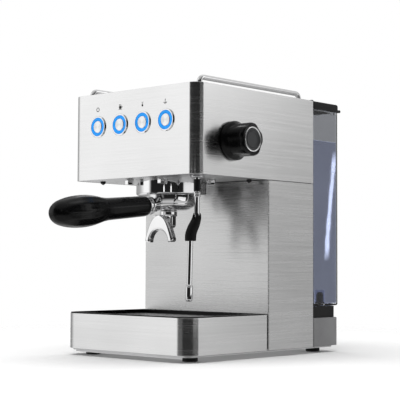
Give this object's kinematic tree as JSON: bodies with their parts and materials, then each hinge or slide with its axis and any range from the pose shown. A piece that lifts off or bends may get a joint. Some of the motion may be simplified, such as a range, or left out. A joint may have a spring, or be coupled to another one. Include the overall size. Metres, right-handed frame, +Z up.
{
  "type": "espresso machine",
  "caption": "Pump espresso machine with a cantilevered steel head, bayonet portafilter, swivelling steam wand, pull-out drip drawer and lift-off rear water tank.",
  "frame": {"origin": "middle of the machine's bounding box, on the worktop that its feet stand on", "axes": "+X to the right of the person using it, +Y to the back, so the portafilter handle points along -Y, +Z up"},
  "size_m": [0.23, 0.389, 0.3168],
  "materials": {
    "brushed_steel": "fine horizontal brushed grain, satin",
    "satin_steel": "darker satin sheet with fine grain",
    "polished_steel": "mirror polished",
    "grid_steel": "brushed plate with punched slots",
    "plain_steel": "smooth drawn steel",
    "bezel_metal": "polished trim ring",
    "button_metal": "satin push button with a spun face",
    "cast_aluminium": "sand-cast, slightly rough",
    "brass": "machined",
    "black_plastic": "moulded, semi-gloss",
    "cap_plastic": "matt insert",
    "black_rubber": "matt",
    "grey_plastic": "fine moulded texture",
    "tank_plastic": "clear moulded, faint blue-grey tint",
    "silicone": "translucent tubing",
    "circuit_board": "lacquered board",
    "light_ring": "blue translucent light guide",
    "icon_print": "screen-printed symbols",
    "water": "clear, faint blue"
  },
  "bodies": {
    "machine": {"head_shell": "brushed_steel", "side_panel_left": "brushed_steel", "side_panel_right": "brushed_steel", "cup_warmer": "brushed_steel", "base_plate": "satin_steel", "column_front": "satin_steel", "back_panel": "satin_steel", "underside_plate": "satin_steel", "rail_left": "polished_steel", "rail_right": "polished_steel", "group_collar": "polished_steel", "group_bolt_left": "polished_steel", "group_bolt_right": "polished_steel", "shower_screen": "plain_steel", "wand_socket": "plain_steel", "button_bezel_1": "bezel_metal", "button_bezel_2": "bezel_metal", "button_bezel_3": "bezel_metal", "button_bezel_4": "bezel_metal", "group_head": "cast_aluminium", "boiler": "cast_aluminium", "steam_valve": "brass", "tank_dock": "black_plastic", "cord_gland": "black_plastic", "pump": "black_plastic", "foot_front_left": "black_rubber", "foot_front_right": "black_rubber", "foot_rear_left": "black_rubber", "foot_rear_right": "black_rubber", "group_gasket": "black_rubber", "pump_cradle": "black_rubber", "tank_seat": "grey_plastic", "suction_hose": "silicone", "pressure_hose": "silicone", "steam_pipe": "silicone", "control_board": "circuit_board"},
    "button_1": {"button_cap_1": "button_metal"},
    "button_2": {"button_cap_2": "button_metal"},
    "button_3": {"button_cap_3": "button_metal"},
    "button_4": {"button_cap_4": "button_metal"},
    "steam_knob": {"steam_knob": "black_plastic", "knob_ring": "polished_steel", "knob_cap": "cap_plastic", "valve_spindle": "brass"},
    "drip_drawer": {"tray_skin": "brushed_steel", "drip_tray": "black_plastic"},
    "drip_grid": {"drip_grid": "grid_steel"},
    "portafilter": {"portafilter_body": "polished_steel", "filter_basket": "plain_steel", "handle_ferrule": "polished_steel", "handle_grip": "black_plastic", "spout": "polished_steel"},
    "wand_swivel": {"wand_seat": "silicone"},
    "steam_wand": {"wand_tube": "polished_steel", "wand_sleeve": "black_rubber", "wand_grip": "black_rubber", "wand_nozzle": "polished_steel"},
    "water_tank": {"water_tank": "tank_plastic"},
    "tank_lid": {"tank_lid": "black_plastic"},
    "tank_valve": {"tank_valve": "black_plastic"}
  },
  "joints": [
    {"name": "button_1_press", "type": "slide", "parent": "machine", "child": "button_1", "axis": [0, 1, 0], "range_m": [0, 0.002], "stiffness_N_per_m": 400, "springref_m": -0.001},
    {"name": "button_2_press", "type": "slide", "parent": "machine", "child": "button_2", "axis": [0, 1, 0], "range_m": [0, 0.002], "stiffness_N_per_m": 400, "springref_m": -0.001},
    {"name": "button_3_press", "type": "slide", "parent": "machine", "child": "button_3", "axis": [0, 1, 0], "range_m": [0, 0.002], "stiffness_N_per_m": 400, "springref_m": -0.001},
    {"name": "button_4_press", "type": "slide", "parent": "machine", "child": "button_4", "axis": [0, 1, 0], "range_m": [0, 0.002], "stiffness_N_per_m": 400, "springref_m": -0.001},
    {"name": "steam_knob_turn", "type": "hinge", "parent": "machine", "child": "steam_knob", "pos_m": [0.085, -0.01572, 0.245], "axis": [1, 0, 0], "range_deg": [0, 270]},
    {"name": "drawer_slide", "type": "slide", "parent": "machine", "child": "drip_drawer", "axis": [0, -1, 0], "range_m": [0, 0.15]},
    {"name": "grid_lift", "type": "slide", "parent": "drip_drawer", "child": "drip_grid", "axis": [0, 0, 1], "range_m": [0, 0.012]},
    {"name": "portafilter_turn", "type": "hinge", "parent": "machine", "child": "portafilter", "pos_m": [-0.015, -0.01072, 0.19], "axis": [0, 0, 1], "range_deg": [-50, 0]},
    {"name": "wand_swivel_turn", "type": "hinge", "parent": "machine", "child": "wand_swivel", "pos_m": [0.069, -0.05712, 0.208], "axis": [0, 0, 1], "range_deg": [-90, 90]},
    {"name": "wand_tilt", "type": "hinge", "parent": "wand_swivel", "child": "steam_wand", "pos_m": [0.069, -0.05712, 0.208], "axis": [0, -1, 0], "range_deg": [-8, 12]},
    {"name": "tank_lift", "type": "slide", "parent": "machine", "child": "water_tank", "axis": [0, 0, 1], "range_m": [0, 0.1]},
    {"name": "lid_turn", "type": "hinge", "parent": "water_tank", "child": "tank_lid", "pos_m": [-0.015, 0.19268, 0.2987], "axis": [-1, 0, 0], "range_deg": [0, 100]},
    {"name": "tank_valve_lift", "type": "slide", "parent": "water_tank", "child": "tank_valve", "axis": [0, 0, 1], "range_m": [0, 0.002], "stiffness_N_per_m": 300, "springref_m": -0.001}
  ]
}
